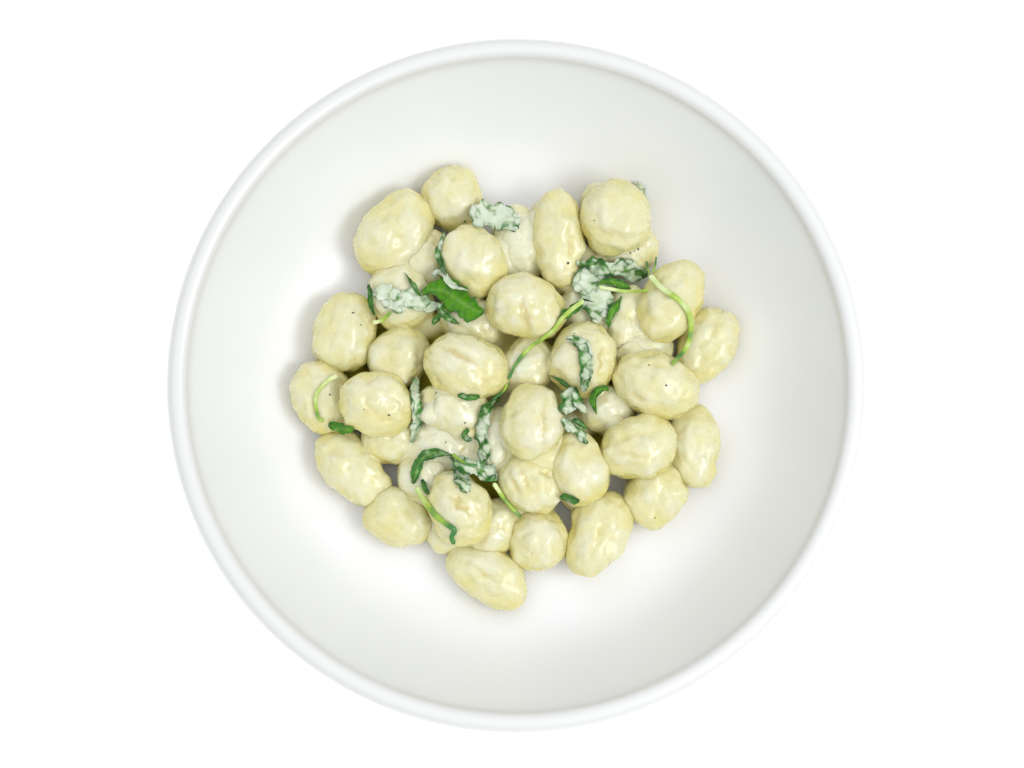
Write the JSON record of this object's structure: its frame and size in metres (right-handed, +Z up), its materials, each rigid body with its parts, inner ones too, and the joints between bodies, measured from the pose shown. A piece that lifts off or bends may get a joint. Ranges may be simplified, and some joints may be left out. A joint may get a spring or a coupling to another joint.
{
  "type": "bowl of potato gnocchi",
  "caption": "Shallow round porcelain bowl with a rolled lip and a foot ring, holding a heap of potato gnocchi in cream with rocket leaves and stems",
  "frame": {"origin": "centre of the foot ring on the table", "axes": "+Z up, the way the open side faces; +X to the right and -Y towards the diner"},
  "size_m": [0.25, 0.25, 0.0539],
  "materials": {
    "porcelain": "smooth glossy white glaze",
    "dough": "moist boiled potato dough with a thin coat of cream",
    "leaf": "wet wilted green leaf, partly coated with cream",
    "stem": "wet pale green stem"
  },
  "bodies": {
    "root": {"bowl": "porcelain", "gnocchi_heap": "dough", "leaf_upper_left": "leaf", "leaf_bright": "leaf", "leaf_edge_left": "leaf", "leaf_thread": "leaf", "leaf_tucked": "leaf", "leaf_left_scrap": "leaf", "leaf_left_fork": "leaf", "leaf_strip_upper": "leaf", "leaf_top": "leaf", "leaf_right": "leaf", "leaf_right_upper": "leaf", "leaf_right_band": "leaf", "leaf_strip_right": "leaf", "leaf_stem_base": "leaf", "leaf_centre": "leaf", "leaf_centre_left": "leaf", "leaf_lobed": "leaf", "leaf_lobed_limb": "leaf", "leaf_strip_lobed": "leaf", "leaf_strip_fork": "leaf", "leaf_scrap_right": "leaf", "leaf_left_tip": "leaf", "leaf_strip_left": "leaf", "leaf_strip_middle": "leaf", "leaf_curl": "leaf", "leaf_middle": "leaf", "leaf_lower": "leaf", "leaf_lower_branch": "leaf", "leaf_lobe_lower": "leaf", "leaf_lobe_middle": "leaf", "leaf_scrap_front": "leaf", "leaf_tip_top": "leaf", "stem_right": "stem", "stem_centre": "stem", "stem_right_short": "stem", "stem_upper_left": "stem", "stem_left": "stem", "stem_middle": "stem", "stem_lower": "stem", "stem_lower_left": "stem", "stem_lower_right": "stem", "stem_tuft_left": "stem", "stem_tuft_right": "stem"}
  },
  "joints": []
}
